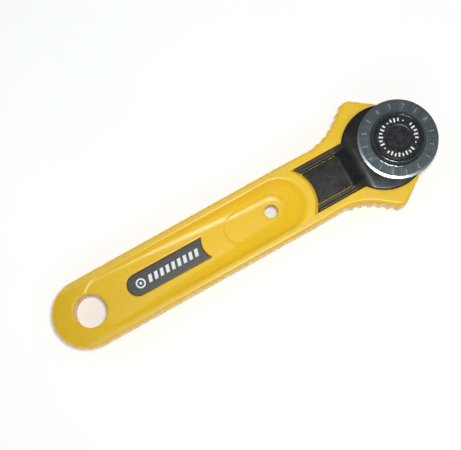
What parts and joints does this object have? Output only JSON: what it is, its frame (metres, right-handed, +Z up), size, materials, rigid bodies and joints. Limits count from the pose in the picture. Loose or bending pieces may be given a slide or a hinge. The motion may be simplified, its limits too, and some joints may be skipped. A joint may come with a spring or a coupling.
{
  "type": "rotary cutter",
  "caption": "Flat-handled rotary fabric cutter with a sliding blade guard, a round steel blade on a bolt and a hand nut set into its back.",
  "frame": {"origin": "centre of the footprint, on the flat back of the handle that it rests on", "axes": "+X along the handle towards the blade, +Y across it, +Z up out of the face with the thumb recess"},
  "size_m": [0.1486, 0.0414, 0.0139],
  "materials": {
    "handle": "satin",
    "name_plate": "satin",
    "blade_guard": "satin",
    "blade": "polished",
    "bolt_head": "gloss",
    "bolt_cap_disc": "satin",
    "bolt_stud": "zinc plated",
    "spring_washer": "satin",
    "nut": "satin",
    "nut_insert": "satin"
  },
  "bodies": {
    "handle": {"handle": "handle", "name_plate": "name_plate", "bolt_head": "bolt_head", "bolt_cap_disc": "bolt_cap_disc", "bolt_stud": "bolt_stud"},
    "guard": {"blade_guard": "blade_guard"},
    "blade": {"blade": "blade"},
    "washer": {"spring_washer": "spring_washer"},
    "nut": {"nut": "nut", "nut_insert": "nut_insert"}
  },
  "joints": [
    {"name": "guard_slide", "type": "slide", "parent": "handle", "child": "guard", "axis": [1, 0, 0], "range_m": [0, 0.0055]},
    {"name": "blade_spin", "type": "hinge", "parent": "handle", "child": "blade", "pos_m": [0.0603, 0, 0.01102], "axis": [0, 0, 1], "continuous": true},
    {"name": "nut_lift", "type": "slide", "parent": "handle", "child": "washer", "axis": [0, 0, -1], "range_m": [0, 0.001]},
    {"name": "nut_turn", "type": "hinge", "parent": "washer", "child": "nut", "pos_m": [0.0603, 0, 0.0019], "axis": [0, 0, -1], "range_deg": [0, 450]}
  ],
  "couplings": [
    {"joint": "nut_turn", "follows": "nut_lift", "rad_per_m": 7854}
  ]
}
